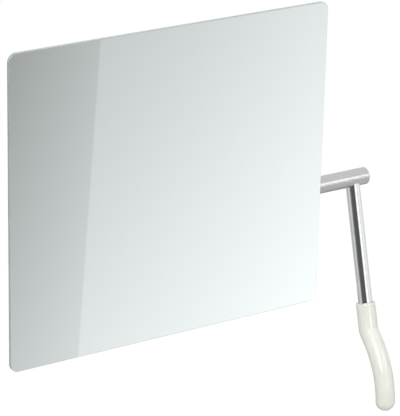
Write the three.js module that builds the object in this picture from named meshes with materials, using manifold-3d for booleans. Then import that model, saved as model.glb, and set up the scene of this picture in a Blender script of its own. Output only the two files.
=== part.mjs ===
// Pivot wall mirror: a frameless rounded glass on a horizontal steel tube that turns in two
// clamped friction bearings on a wall rail. A polished lever tube with a bent grip is coped
// onto the tube's right end, so that a seated person can tilt the glass.
// Units are millimetres. X runs to the right, Y into the wall and Z up. The origin lies on
// the wall face of the rail, at the height of the tube's axis and on the glass's centre line.
import * as THREE from 'three';
import { mergeVertices } from 'three/addons/utils/BufferGeometryUtils.js';
import Module from 'manifold-3d';

const wasm = await Module();
wasm.setup();

// Fits
const FIT_GAP = 0.3; // seated pieces that are curved or turned
const RUNNING_GAP = 0.35; // tube in its friction bushes
const CLAMP_GAP = 1; // between the halves of a clamp
const THREAD_RUNOUT = 1.3; // tapped hole past the end of its screw
const HEAD_CLEARANCE = 1; // beside a screw's head

// Glass
const GLASS_WIDTH = 600;
const GLASS_HEIGHT = 540;
const GLASS_THICKNESS = 6;
const GLASS_CORNER_RADIUS = 15;
const GLASS_EDGE_BEVEL = 0.8;
const FILM_THICKNESS = 0.4;
const FILM_INSET = 3;

// Horizontal tube
const SHAFT_DIAMETER = 30;
const SHAFT_WALL = 2;
const SHAFT_BEHIND_GLASS = 42; // front of the glass to the tube's axis
const SHAFT_ABOVE_GLASS_EDGE = 194; // bottom edge of the glass to the tube's axis
const SHAFT_FROM_WALL = 56;
const SHAFT_PAST_CARRIER = 50; // from the left carrier's middle to the tube's end
const SHAFT_RIGHT_OVERHANG = 125; // past the glass's right edge
const SHAFT_PLUG_FLANGE = 2;
const SHAFT_PLUG_DEPTH = 12;
const SHAFT_PLUG_WALL = 2;
const LEFT_PLUG_ROUNDING = 0.6;
const RIGHT_PLUG_ROUNDING = 1;

// Lever and grip, measured along the lever from the tube's axis
const LEVER_FROM_SHAFT_END = 28;
const LEVER_DIAMETER = 25;
const LEVER_WALL = 2;
const LEVER_ANGLE = THREE.MathUtils.degToRad(15); // forward of the glass
const LEVER_IN_GRIP = 40;
const LEVER_END_GAP = 1; // to the bottom of the grip's socket
const LEVER_INSERT_LENGTH = 36;
const LEVER_BOLT_LENGTH = 24;
const LEVER_THREAD_RUNOUT = 2;
const LEVER_WASHER_RADIUS = 8;
const LEVER_WASHER_FLOOR = 3.5; // thickness at the middle of the saddle washer
const GRIP_START = 222;
const GRIP_DIAMETER = 34;
const GRIP_RIM_ROUNDING = 1.6;
const GRIP_SLEEVE = 45;
const GRIP_KINK_RADIUS = 20;
const GRIP_KINK_ANGLE = THREE.MathUtils.degToRad(30);
const GRIP_SLOPE = 16;
const GRIP_RETURN_RADIUS = 150;
const GRIP_RETURN_ANGLE = THREE.MathUtils.degToRad(42);
const GRIP_SCREW_BELOW_RIM = 22;

// Wall rail
const RAIL_PAST_BEARING = 80; // from a bearing's middle to the rail's end
const RAIL_HEIGHT = 70;
const RAIL_SHEET = 3;
const RAIL_FLANGE = 14;
const RAIL_BEND = 2;
const SLOT_LENGTH = 20;
const SLOT_WIDTH = 7;
const SLOT_FROM_RAIL_END = 30;
const SLOT_SPACING_Z = 36;

// Bearings
const BEARING_FROM_CARRIER = 55; // between their middles
const BLOCK_WIDTH = 30;
const BLOCK_WALL = 4.7; // metal around the bush
const BLOCK_NECK = 20; // half height of the neck between foot and head
const BLOCK_NECK_FLARE = 1; // how soon the neck widens towards the foot
const BLOCK_FOOT_CHAMFER = 3; // clears the bends of the rail
const BLOCK_HEAD_DEPTH = 15;
const BLOCK_CHAMFER = 2;
const CAP_EAR = 6.5;
const CAP_CHAMFER = 1;
const EAR_MARGIN = 5.5; // metal past a clamp screw's axis
const BUSH_WALL = 2.15;
const BUSH_FLANGE = 2;
const BUSH_FLANGE_RISE = 3.5;

// Collars that hold the tube sideways, and the stop
const COLLAR_WIDTH = 12;
const COLLAR_WALL = 6.7;
const COLLAR_CHAMFER = 0.8;
const LUG_ROOT = 2; // how far the lug is sunk into its collar
const TILT_RANGE = THREE.MathUtils.degToRad(20);
const STOP_LUG_ANGLE = THREE.MathUtils.degToRad(14);
const STOP_LUG_HEIGHT = 4.5;
const STOP_LUG_REACH = 4.5; // into the block's pocket

// Carriers between tube and glass
const CARRIER_FROM_GLASS_SIDE = 115; // to the carrier's middle
const CARRIER_FROM_GLASS_BOTTOM = 64;
const CARRIER_FROM_GLASS_TOP = 116;
const CARRIER_WEB = 38;
const CARRIER_FLANGE = 16;
const CARRIER_SHEET = 2;
const CARRIER_BEND = 1.5;
const TAPE_THICKNESS = 1;
const TAPE_INSET = 2;
const SADDLE_WIDTH = 30;
const SADDLE_FLOOR = 4.7;
const SADDLE_SPLIT = 4; // split face in front of the tube's axis
const SADDLE_DRAFT = 2;
const STRAP_WIDTH = 24;
const STRAP_THICKNESS = 3;
const STRAP_SCREW_LENGTH = 24;

// Screws: shank radius, head radius, head height and socket radius
const M5 = { shank: 2.5, head: 4.25, headHeight: 5, socket: 2.2 };
const M6 = { shank: 3, head: 5.25, headHeight: 3.4, socket: 2.4 };
const SCREW_HEAD_EDGE = 0.5;
const CAP_SCREW_LENGTH = 20;
const BLOCK_SCREW_LENGTH = 17;
const WASHER_RADIUS = 4.9;
const WASHER_THICKNESS = 0.8;
const WASHER_DISH = 0.4;

// Headless screws: shank radius and socket radius
const M5_GRUB = { shank: 2.5, socket: 1.32 };
const M6_GRUB = { shank: 3, socket: 1.44 };
const GRUB_EDGE = 0.4;
const COLLAR_GRUB_LENGTH = 6;

// Facets around a full circle
const TUBE_FACETS = 60;
const LEVER_FACETS = 48;
const GRIP_FACETS = 32;
const BEARING_FACETS = 36;
const SCREW_FACETS = 14;
const GLASS_CORNER_FACETS = 12;
const SLOT_FACETS = 8;
const LUG_FACETS = 6;
const BEND_FACETS = 4;
const SOCKET_SIDES = 6;

// How far a cutter reaches past the face that it starts from
const PAST_FACE = 1;

// Half the chord that a circle cuts from a line at the given distance from its centre.
function chordHalf(radius, distance) {
  return Math.sqrt(radius * radius - distance * distance);
}

// Sizes that follow from the ones above
const carrierX = GLASS_WIDTH / 2 - CARRIER_FROM_GLASS_SIDE;
const bearingX = carrierX - BEARING_FROM_CARRIER;
const railLength = 2 * (bearingX + RAIL_PAST_BEARING);
const slotX = railLength / 2 - SLOT_FROM_RAIL_END;
const shaftLeftReach = carrierX + SHAFT_PAST_CARRIER;
const shaftRadius = SHAFT_DIAMETER / 2;
const shaftRightReach = GLASS_WIDTH / 2 + SHAFT_RIGHT_OVERHANG;
const leverRadius = LEVER_DIAMETER / 2;
const gripRadius = GRIP_DIAMETER / 2;
const leverX = shaftRightReach - LEVER_FROM_SHAFT_END;
const seatRadius = shaftRadius + FIT_GAP;
const bushInner = shaftRadius + RUNNING_GAP;
const bushOuter = bushInner + BUSH_WALL;
const bushFlangeRadius = bushOuter + BUSH_FLANGE_RISE;
const boreRadius = bushOuter + FIT_GAP;
const capRadius = boreRadius + BLOCK_WALL;
const splitRear = CLAMP_GAP / 2;
const splitFront = -CLAMP_GAP / 2;
const earFront = splitFront - CAP_EAR;
const capScrewOffset = chordHalf(capRadius, earFront) + WASHER_RADIUS + FIT_GAP;
const capEarHalf = capScrewOffset + EAR_MARGIN;
const footDepth = RAIL_FLANGE - RAIL_SHEET;
const footHalf = RAIL_HEIGHT / 2 - RAIL_SHEET - FIT_GAP;
const bushEnd = BLOCK_WIDTH / 2 + FIT_GAP + BUSH_FLANGE;
const collarRadius = seatRadius + COLLAR_WALL;
const lugInner = bushFlangeRadius + 2 * FIT_GAP;
const lugOuter = lugInner + STOP_LUG_HEIGHT;
const glassFront = -SHAFT_BEHIND_GLASS; // from here on Y is measured from the tube's axis
const glassBack = glassFront + GLASS_THICKNESS;
const filmBack = glassBack + FILM_THICKNESS;
const tapeBack = filmBack + TAPE_THICKNESS;
const carrierBack = -(seatRadius + SADDLE_FLOOR);
const carrierDepth = carrierBack - tapeBack;
const strapRadius = seatRadius + STRAP_THICKNESS;
const strapScrewOffset = strapRadius + M5.head + HEAD_CLEARANCE;
const strapEarHalf = strapScrewOffset + EAR_MARGIN;

// ---------- Solids ----------

const MERGE_DISTANCE = 1e-4;

// The closed surface of a geometry, with shared corners merged and collapsed faces left out.
function toSolid(geometry) {
  const bare = geometry.clone();
  bare.deleteAttribute('normal');
  bare.deleteAttribute('uv');
  const merged = mergeVertices(bare, MERGE_DISTANCE);
  const index = merged.index.array;
  const faces = [];
  for (let i = 0; i < index.length; i += 3) {
    const [a, b, c] = [index[i], index[i + 1], index[i + 2]];
    if (a !== b && b !== c && c !== a) faces.push(a, b, c);
  }
  const vertProperties = new Float32Array(merged.attributes.position.array);
  const mesh = new wasm.Mesh({ numProp: 3, vertProperties, triVerts: new Uint32Array(faces) });
  return new wasm.Manifold(mesh);
}

function toGeometry(solid) {
  const mesh = solid.getMesh();
  const geometry = new THREE.BufferGeometry();
  geometry.setAttribute('position', new THREE.BufferAttribute(mesh.vertProperties, 3));
  geometry.setIndex(new THREE.BufferAttribute(mesh.triVerts, 1));
  geometry.computeVertexNormals();
  return geometry;
}

function cut(geometry, ...tools) {
  return toGeometry(tools.reduce((solid, tool) => solid.subtract(toSolid(tool)), toSolid(geometry)));
}

function join(geometry, ...others) {
  return toGeometry(others.reduce((solid, other) => solid.add(toSolid(other)), toSolid(geometry)));
}

function keep(geometry, tool) {
  return toGeometry(toSolid(geometry).intersect(toSolid(tool)));
}

const X_AXIS = new THREE.Vector3(1, 0, 0);
const Y_AXIS = new THREE.Vector3(0, 1, 0);
const Z_AXIS = new THREE.Vector3(0, 0, 1);

// A section drawn in (x, y), extruded along Z and centred on z = 0. Each arc gets arcFacets facets.
function extrudeAlongZ(section, length, arcFacets) {
  const options = { depth: length, bevelEnabled: false, curveSegments: arcFacets / 2 };
  return new THREE.ExtrudeGeometry(section, options).translate(0, 0, -length / 2);
}

// A section drawn in (y, z), extruded along X and centred on x = 0.
function extrudeAlongX(section, length, arcFacets) {
  const geometry = extrudeAlongZ(section, length, arcFacets);
  return geometry.applyMatrix4(new THREE.Matrix4().makeBasis(Y_AXIS, Z_AXIS, X_AXIS));
}

// A plate drawn in (x, z), whose back lies at y = 0 and whose front lies at y = -thickness.
function plateFacingFront(outline, thickness, bevel = 0, arcFacets = GLASS_CORNER_FACETS) {
  const options = { depth: thickness - 2 * bevel, curveSegments: arcFacets / 2, bevelEnabled: bevel > 0 };
  Object.assign(options, { bevelThickness: bevel, bevelSize: bevel, bevelOffset: -bevel, bevelSegments: 1 });
  const geometry = new THREE.ExtrudeGeometry(outline, options);
  geometry.translate(0, 0, bevel);
  return geometry.applyMatrix4(new THREE.Matrix4().makeBasis(X_AXIS, Z_AXIS, Y_AXIS.clone().negate()));
}

// A cylinder between two X positions around the X axis.
function cylinderAlongX(radius, from, to, facets = TUBE_FACETS) {
  const geometry = new THREE.CylinderGeometry(radius, radius, to - from, facets);
  geometry.rotateZ(-Math.PI / 2);
  return geometry.translate((from + to) / 2, 0, 0);
}

// A cylinder between two Z positions around the Z axis.
function cylinderAlongZ(radius, from, to, facets = SCREW_FACETS) {
  const geometry = new THREE.CylinderGeometry(radius, radius, to - from, facets);
  geometry.rotateX(Math.PI / 2);
  return geometry.translate(0, 0, (from + to) / 2);
}

// A cylinder between two Y positions around the Y axis.
function cylinderAlongY(radius, from, to, facets = SCREW_FACETS) {
  const geometry = new THREE.CylinderGeometry(radius, radius, to - from, facets);
  return geometry.translate(0, (from + to) / 2, 0);
}

// A profile of [radius, height] pairs turned about the Y axis.
function turn(profile, facets) {
  const points = profile.map(([radius, height]) => new THREE.Vector2(radius, height));
  return new THREE.LatheGeometry(points, facets);
}

function turnAboutX(profile, facets) {
  return turn(profile, facets).rotateZ(-Math.PI / 2);
}

function roundedRectangle(width, height, radius) {
  const [x, y] = [width / 2 - radius, height / 2 - radius];
  const shape = new THREE.Shape();
  shape.absarc(x, y, radius, 0, Math.PI / 2);
  shape.absarc(-x, y, radius, Math.PI / 2, Math.PI);
  shape.absarc(-x, -y, radius, Math.PI, 1.5 * Math.PI);
  shape.absarc(x, -y, radius, 1.5 * Math.PI, 2 * Math.PI);
  shape.closePath();
  return shape;
}

// A ring sector in the (y, z) plane, from one angle to another, measured from +Y towards +Z.
function ringSector(inner, outer, from, to) {
  const shape = new THREE.Shape();
  shape.absarc(0, 0, outer, from, to, false);
  shape.absarc(0, 0, inner, to, from, true);
  shape.closePath();
  return shape;
}

// ---------- Materials ----------

function material(color, roughness, metalness) {
  return new THREE.MeshStandardMaterial({ color, roughness, metalness });
}

const silveredGlass = material(0xd9e1e0, 0.04, 1);
const satinSteel = material(0xb9bab9, 0.38, 1);
const polishedSteel = material(0xdfe0e0, 0.06, 1);
const ivoryPolyamide = material(0xecebdd, 0.28, 0);
const castAluminium = material(0xa9abad, 0.55, 1);
const zincedSteel = material(0xb4b7ba, 0.45, 1);
const coatedSteel = material(0xe6e6e3, 0.5, 0.1);
const darkPolyamide = material(0x35383a, 0.6, 0);
const greyFilm = material(0x8d9294, 0.7, 0);
const blackFoam = material(0x222324, 0.9, 0);

const mirror = new THREE.Group();

function add(parent, name, geometry, look, position = [0, 0, 0], rotation = [0, 0, 0]) {
  const mesh = new THREE.Mesh(geometry, look);
  mesh.name = name;
  mesh.position.set(...position);
  mesh.rotation.set(...rotation);
  parent.add(mesh);
  return mesh;
}

const SIDES = [['left', -1], ['right', 1]];
const ENDS = [['upper', 1], ['lower', -1]];

// ---------- Wall rail ----------

// Sheet folded at right angles along a centre line, with an arc inside and outside each fold.
function bentSheet(corners, thickness, bend) {
  const line = corners.map(([a, b]) => new THREE.Vector2(a, b));
  const half = thickness / 2;
  const radius = bend + half;
  const directions = line.slice(1).map((point, i) => point.clone().sub(line[i]).normalize());
  const leftOf = (direction) => new THREE.Vector2(-direction.y, direction.x);
  const folds = directions.slice(1).map((next, i) => {
    const before = directions[i];
    const turn = Math.sign(before.cross(next));
    const centre = line[i + 1].clone().addScaledVector(before, -radius);
    centre.addScaledVector(leftOf(before), turn * radius);
    const from = leftOf(before).multiplyScalar(-turn).angle();
    return { centre, turn, from, to: from + turn * Math.PI / 2 };
  });
  const shape = new THREE.Shape();
  const corner = (end, direction, side) => end.clone().addScaledVector(leftOf(direction), side * half);
  const [first, last] = [directions[0], directions[directions.length - 1]];
  const start = corner(line[0], first, 1);
  shape.moveTo(start.x, start.y);
  for (const { centre, turn, from, to } of folds) {
    shape.absarc(centre.x, centre.y, radius - turn * half, from, to, turn < 0);
  }
  for (const side of [1, -1]) {
    const end = corner(line[line.length - 1], last, side);
    shape.lineTo(end.x, end.y);
  }
  for (const { centre, turn, from, to } of folds.reverse()) {
    shape.absarc(centre.x, centre.y, radius + turn * half, to, from, turn > 0);
  }
  const back = corner(line[0], first, -1);
  shape.lineTo(back.x, back.y);
  shape.closePath();
  return shape;
}

// Pressed channel, drawn in (y, z) with its web flat on the wall and its flanges forward.
function railSection() {
  const web = -RAIL_SHEET / 2;
  const flange = (RAIL_HEIGHT - RAIL_SHEET) / 2;
  const corners = [[-RAIL_FLANGE, -flange], [web, -flange], [web, flange], [-RAIL_FLANGE, flange]];
  return bentSheet(corners, RAIL_SHEET, RAIL_BEND);
}

function slotTool() {
  const radius = SLOT_WIDTH / 2;
  const reach = SLOT_LENGTH / 2 - radius;
  const outline = new THREE.Shape();
  outline.absarc(reach, 0, radius, -Math.PI / 2, Math.PI / 2, false);
  outline.absarc(-reach, 0, radius, Math.PI / 2, 1.5 * Math.PI, false);
  outline.closePath();
  const tool = plateFacingFront(outline, RAIL_SHEET + 2 * PAST_FACE, 0, SLOT_FACETS);
  return tool.translate(0, PAST_FACE, 0);
}

const crossScrewY = -(RAIL_SHEET + footDepth / 2);

function railGeometry() {
  const tools = [];
  for (const sideX of [-1, 1]) {
    for (const sideZ of [-1, 1]) {
      const slot = slotTool();
      tools.push(slot.translate(sideX * slotX, 0, sideZ * SLOT_SPACING_Z / 2));
    }
    const hole = cylinderAlongZ(M6.shank + FIT_GAP, -RAIL_HEIGHT, RAIL_HEIGHT);
    tools.push(hole.translate(sideX * bearingX, crossScrewY, 0));
  }
  return cut(extrudeAlongX(railSection(), railLength, BEND_FACETS), ...tools);
}

add(mirror, 'wall_rail', railGeometry(), coatedSteel);

// ---------- Bearings ----------
// Everything below is drawn with the tube's axis on X, then moved to it by this group.

const onAxis = new THREE.Group();
onAxis.position.set(0, -SHAFT_FROM_WALL, 0);
mirror.add(onAxis);

const railFront = SHAFT_FROM_WALL - RAIL_SHEET;

// Pedestal with a foot that slips between the rail's flanges, a waisted neck and a split head.
function blockSection() {
  const footFront = railFront - footDepth;
  const headRear = splitRear + BLOCK_HEAD_DEPTH;
  const neckMiddle = (footFront + headRear) / 2;
  const flareEnd = footFront - BLOCK_NECK_FLARE;
  const mouth = chordHalf(boreRadius, splitRear);
  const mouthAngle = Math.atan2(mouth, splitRear);
  const shape = new THREE.Shape();
  shape.moveTo(railFront, footHalf - BLOCK_FOOT_CHAMFER);
  shape.lineTo(railFront - BLOCK_FOOT_CHAMFER, footHalf);
  shape.lineTo(footFront, footHalf);
  shape.quadraticCurveTo(flareEnd, BLOCK_NECK, neckMiddle, BLOCK_NECK);
  shape.quadraticCurveTo(headRear, BLOCK_NECK, headRear, capEarHalf - BLOCK_CHAMFER);
  shape.lineTo(headRear - BLOCK_CHAMFER, capEarHalf);
  shape.lineTo(splitRear, capEarHalf);
  shape.lineTo(splitRear, mouth);
  shape.absarc(0, 0, boreRadius, mouthAngle, -mouthAngle, true);
  shape.lineTo(splitRear, -capEarHalf);
  shape.lineTo(headRear - BLOCK_CHAMFER, -capEarHalf);
  shape.lineTo(headRear, -capEarHalf + BLOCK_CHAMFER);
  shape.quadraticCurveTo(headRear, -BLOCK_NECK, neckMiddle, -BLOCK_NECK);
  shape.quadraticCurveTo(flareEnd, -BLOCK_NECK, footFront, -footHalf);
  shape.lineTo(railFront - BLOCK_FOOT_CHAMFER, -footHalf);
  shape.lineTo(railFront, -footHalf + BLOCK_FOOT_CHAMFER);
  shape.closePath();
  return shape;
}

// Half ring with an ear for a clamp screw above and below.
function capSection() {
  const mouth = chordHalf(boreRadius, splitFront);
  const mouthAngle = Math.atan2(mouth, splitFront);
  const shoulder = chordHalf(capRadius, earFront);
  const shoulderAngle = Math.atan2(shoulder, earFront);
  const shape = new THREE.Shape();
  shape.moveTo(splitFront, mouth);
  shape.lineTo(splitFront, capEarHalf);
  shape.lineTo(earFront + CAP_CHAMFER, capEarHalf);
  shape.lineTo(earFront, capEarHalf - CAP_CHAMFER);
  shape.lineTo(earFront, shoulder);
  shape.absarc(0, 0, capRadius, shoulderAngle, 2 * Math.PI - shoulderAngle, false);
  shape.lineTo(earFront, -capEarHalf + CAP_CHAMFER);
  shape.lineTo(earFront + CAP_CHAMFER, -capEarHalf);
  shape.lineTo(splitFront, -capEarHalf);
  shape.lineTo(splitFront, -mouth);
  shape.absarc(0, 0, boreRadius, 2 * Math.PI - mouthAngle, mouthAngle, true);
  shape.closePath();
  return shape;
}

// Pocket in the right block's inner face: the lug's travel, with a gap around it.
function pocketTool() {
  const half = (TILT_RANGE + STOP_LUG_ANGLE) / 2 + FIT_GAP / lugInner;
  const section = ringSector(lugInner - FIT_GAP, lugOuter + FIT_GAP, -half, half);
  const tool = extrudeAlongX(section, 2 * (STOP_LUG_REACH + FIT_GAP), 2 * LUG_FACETS);
  return tool.translate(-BLOCK_WIDTH / 2, 0, 0);
}

function blockGeometry(side) {
  const capScrewEnd = earFront - WASHER_THICKNESS + CAP_SCREW_LENGTH;
  const holes = ENDS.map(([, end]) => {
    const hole = cylinderAlongY(M5.shank + FIT_GAP, splitRear - PAST_FACE, capScrewEnd + THREAD_RUNOUT);
    return hole.translate(0, 0, end * capScrewOffset);
  });
  const crossScrewEnd = RAIL_HEIGHT / 2 - BLOCK_SCREW_LENGTH;
  const footHoles = ENDS.map(([, end]) => {
    const hole = cylinderAlongZ(M6.shank + FIT_GAP, crossScrewEnd - THREAD_RUNOUT, footHalf + PAST_FACE);
    if (end < 0) hole.rotateX(Math.PI);
    return hole.translate(0, railFront - footDepth / 2, 0);
  });
  const tools = [...holes, ...footHoles];
  if (side > 0) tools.push(pocketTool());
  return cut(extrudeAlongX(blockSection(), BLOCK_WIDTH, BEARING_FACETS / 2), ...tools);
}

function capGeometry() {
  const holes = ENDS.map(([, end]) => {
    const hole = cylinderAlongY(M5.shank + FIT_GAP, earFront - PAST_FACE, splitFront + PAST_FACE);
    return hole.translate(0, 0, end * capScrewOffset);
  });
  return cut(extrudeAlongX(capSection(), BLOCK_WIDTH, BEARING_FACETS / 2), ...holes);
}

// Flanged liner, cut along the split plane into a front and a rear half.
function bushHalf(end) {
  const bodyEnd = BLOCK_WIDTH / 2 + FIT_GAP;
  const whole = turnAboutX([
    [bushInner, -bushEnd],
    [bushFlangeRadius, -bushEnd],
    [bushFlangeRadius, -bodyEnd],
    [bushOuter, -bodyEnd],
    [bushOuter, bodyEnd],
    [bushFlangeRadius, bodyEnd],
    [bushFlangeRadius, bushEnd],
    [bushInner, bushEnd],
    [bushInner, -bushEnd],
  ], BEARING_FACETS);
  const size = 2 * bushFlangeRadius + PAST_FACE;
  const half = new THREE.BoxGeometry(size, size, size);
  return keep(whole, half.translate(0, end * (size + CLAMP_GAP) / 2, 0));
}

// Socket screw turned about Y: the head's seat is at y = 0, the head above and the shank below.
function socketScrew({ shank, head, headHeight, socket }, length) {
  const body = turn([
    [0, -length],
    [shank, -length],
    [shank, 0],
    [head, 0],
    [head, headHeight - SCREW_HEAD_EDGE],
    [head - SCREW_HEAD_EDGE, headHeight],
    [0, headHeight],
  ], SCREW_FACETS);
  const recess = new THREE.CylinderGeometry(socket, socket, headHeight, SOCKET_SIDES);
  return cut(body, recess.translate(0, headHeight, 0));
}

// Dished spring washer, with its wide edge at y = 0.
function springWasher() {
  const inner = M5.shank + FIT_GAP;
  return turn([
    [inner, WASHER_DISH],
    [WASHER_RADIUS, 0],
    [WASHER_RADIUS, WASHER_THICKNESS - WASHER_DISH],
    [inner, WASHER_THICKNESS],
    [inner, WASHER_DISH],
  ], SCREW_FACETS);
}

for (const [sideName, side] of SIDES) {
  const x = side * bearingX;
  add(onAxis, `bearing_block_${sideName}`, blockGeometry(side), castAluminium, [x, 0, 0]);
  add(onAxis, `bearing_cap_${sideName}`, capGeometry(), castAluminium, [x, 0, 0]);
  add(onAxis, `bush_rear_${sideName}`, bushHalf(1), darkPolyamide, [x, 0, 0]);
  add(onAxis, `bush_front_${sideName}`, bushHalf(-1), darkPolyamide, [x, 0, 0]);
  for (const [endName, end] of ENDS) {
    const which = `${sideName}_${endName}`;
    const z = end * capScrewOffset;
    const facingGlass = [Math.PI, 0, 0];
    add(onAxis, `spring_washer_${which}`, springWasher(), zincedSteel, [x, earFront, z], facingGlass);
    const screw = socketScrew(M5, CAP_SCREW_LENGTH);
    const headSeat = earFront - WASHER_THICKNESS;
    add(onAxis, `cap_screw_${which}`, screw, zincedSteel, [x, headSeat, z], facingGlass);
    const cross = socketScrew(M6, BLOCK_SCREW_LENGTH);
    const place = [x, crossScrewY, end * RAIL_HEIGHT / 2];
    add(mirror, `block_screw_${which}`, cross, zincedSteel, place, [end * Math.PI / 2, 0, 0]);
  }
}

// ---------- Horizontal tube, its plugs and its collars ----------

// Direction of the lever, as a rotation about X that turns -Z to it.
const leverTurn = -LEVER_ANGLE;

function shaftGeometry() {
  const section = new THREE.Shape();
  section.absarc(0, 0, shaftRadius, 0, 2 * Math.PI, false);
  const bore = new THREE.Path();
  bore.absarc(0, 0, shaftRadius - SHAFT_WALL, 0, 2 * Math.PI, true);
  section.holes.push(bore);
  const [from, to] = [-shaftLeftReach + SHAFT_PLUG_FLANGE, shaftRightReach - SHAFT_PLUG_FLANGE];
  const tube = extrudeAlongX(section, to - from, TUBE_FACETS).translate((from + to) / 2, 0, 0);
  const boltHole = cylinderAlongZ(M6.shank + FIT_GAP, -shaftRadius - PAST_FACE, 0);
  return cut(tube, boltHole.rotateX(leverTurn).translate(leverX, 0, 0));
}

// Hollow plug pressed into an end of the tube, its flange flush with the tube's outside.
function shaftPlug(rounding) {
  const outer = shaftRadius - SHAFT_WALL - FIT_GAP;
  const profile = [[0, -SHAFT_PLUG_WALL], [outer - SHAFT_PLUG_WALL, -SHAFT_PLUG_WALL]];
  profile.push([outer - SHAFT_PLUG_WALL, -SHAFT_PLUG_DEPTH]);
  profile.push([outer, -SHAFT_PLUG_DEPTH], [outer, 0], [shaftRadius, 0]);
  const steps = 2;
  for (let i = 0; i <= steps; i += 1) {
    const angle = (i / steps) * Math.PI / 2;
    const radius = shaftRadius - rounding * (1 - Math.cos(angle));
    profile.push([radius, SHAFT_PLUG_FLANGE - rounding * (1 - Math.sin(angle))]);
  }
  profile.push([0, SHAFT_PLUG_FLANGE]);
  return turnAboutX(profile, BEARING_FACETS);
}

// Set collar with a radial thread. The right one carries the lug that meets the stops.
function collarGeometry(withLug) {
  const half = COLLAR_WIDTH / 2;
  const ring = turnAboutX([
    [seatRadius, -half],
    [collarRadius - COLLAR_CHAMFER, -half],
    [collarRadius, -half + COLLAR_CHAMFER],
    [collarRadius, half - COLLAR_CHAMFER],
    [collarRadius - COLLAR_CHAMFER, half],
    [seatRadius, half],
    [seatRadius, -half],
  ], BEARING_FACETS);
  const thread = cylinderAlongZ(M6.shank + FIT_GAP, -collarRadius - PAST_FACE, -seatRadius + PAST_FACE);
  if (!withLug) return cut(ring, thread);
  const reach = COLLAR_WIDTH + BUSH_FLANGE + 2 * FIT_GAP + STOP_LUG_REACH;
  const [from, to] = [-(TILT_RANGE + STOP_LUG_ANGLE) / 2, -(TILT_RANGE - STOP_LUG_ANGLE) / 2];
  const lug = extrudeAlongX(ringSector(lugInner, lugOuter, from, to), reach, LUG_FACETS);
  lug.translate(reach / 2 - half, 0, 0);
  const rootSection = ringSector(collarRadius - LUG_ROOT, lugOuter, from, to);
  const root = extrudeAlongX(rootSection, COLLAR_WIDTH, LUG_FACETS);
  return cut(join(ring, root, lug), thread);
}

// Headless screw turned about Y, from y = 0 out to its socket end.
function grubScrew({ shank, socket }, length) {
  const body = turn([
    [0, 0],
    [shank, 0],
    [shank, length - GRUB_EDGE],
    [shank - GRUB_EDGE, length],
    [0, length],
  ], SCREW_FACETS);
  const recess = new THREE.CylinderGeometry(socket, socket, length, SOCKET_SIDES);
  return cut(body, recess.translate(0, length, 0));
}

add(onAxis, 'shaft_tube', shaftGeometry(), satinSteel);
const leftPlugX = -shaftLeftReach + SHAFT_PLUG_FLANGE;
const rightPlugX = shaftRightReach - SHAFT_PLUG_FLANGE;
const leftPlug = shaftPlug(LEFT_PLUG_ROUNDING);
add(onAxis, 'shaft_plug_left', leftPlug, darkPolyamide, [leftPlugX, 0, 0], [0, Math.PI, 0]);
const rightPlug = shaftPlug(RIGHT_PLUG_ROUNDING);
add(onAxis, 'shaft_plug_right', rightPlug, satinSteel, [rightPlugX, 0, 0]);
const collarX = bearingX - bushEnd - FIT_GAP - COLLAR_WIDTH / 2;
for (const [sideName, side] of SIDES) {
  const x = side * collarX;
  add(onAxis, `collar_${sideName}`, collarGeometry(side > 0), zincedSteel, [x, 0, 0]);
  const grub = grubScrew(M6_GRUB, COLLAR_GRUB_LENGTH);
  add(onAxis, `collar_screw_${sideName}`, grub, zincedSteel, [x, 0, -seatRadius], [-Math.PI / 2, 0, 0]);
}

// ---------- Glass and its carriers ----------

const glassMiddle = GLASS_HEIGHT / 2 - SHAFT_ABOVE_GLASS_EDGE;
const glassOutline = roundedRectangle(GLASS_WIDTH, GLASS_HEIGHT, GLASS_CORNER_RADIUS);
const glass = plateFacingFront(glassOutline, GLASS_THICKNESS, GLASS_EDGE_BEVEL);
add(onAxis, 'mirror_glass', glass, silveredGlass, [0, glassBack, glassMiddle]);

const filmWidth = GLASS_WIDTH - 2 * FILM_INSET;
const filmHeight = GLASS_HEIGHT - 2 * FILM_INSET;
const filmOutline = roundedRectangle(filmWidth, filmHeight, GLASS_CORNER_RADIUS - FILM_INSET);
const film = plateFacingFront(filmOutline, FILM_THICKNESS);
add(onAxis, 'safety_film', film, greyFilm, [0, filmBack, glassMiddle]);

// ---------- Carriers ----------

// Hat profile in (x, y): flanges at y = 0 for the tape, web towards the wall.
function hatSection() {
  const sheet = CARRIER_SHEET / 2;
  const side = CARRIER_WEB / 2 - sheet;
  const web = carrierDepth - sheet;
  const edge = CARRIER_WEB / 2 + CARRIER_FLANGE;
  const left = [[-edge, sheet], [-side, sheet], [-side, web]];
  const right = [[side, web], [side, sheet], [edge, sheet]];
  return bentSheet([...left, ...right], CARRIER_SHEET, CARRIER_BEND);
}

const carrierLength = GLASS_HEIGHT - CARRIER_FROM_GLASS_BOTTOM - CARRIER_FROM_GLASS_TOP;
const carrierMiddle = glassMiddle + (CARRIER_FROM_GLASS_BOTTOM - CARRIER_FROM_GLASS_TOP) / 2;

function strapScrewHoles(from, to) {
  return ENDS.map(([, end]) => {
    const hole = cylinderAlongY(M5.shank + FIT_GAP, from, to);
    return hole.translate(0, 0, end * strapScrewOffset);
  });
}

function carrierGeometry() {
  const hat = extrudeAlongZ(hatSection(), carrierLength, BEND_FACETS);
  hat.translate(0, tapeBack, carrierMiddle);
  const webFront = carrierBack - CARRIER_SHEET;
  return cut(hat, ...strapScrewHoles(webFront - PAST_FACE, carrierBack + PAST_FACE));
}

const saddleFace = -(SADDLE_SPLIT + CLAMP_GAP / 2);
const strapFace = -(SADDLE_SPLIT - CLAMP_GAP / 2);
const strapEarBack = strapFace + STRAP_THICKNESS;

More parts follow.
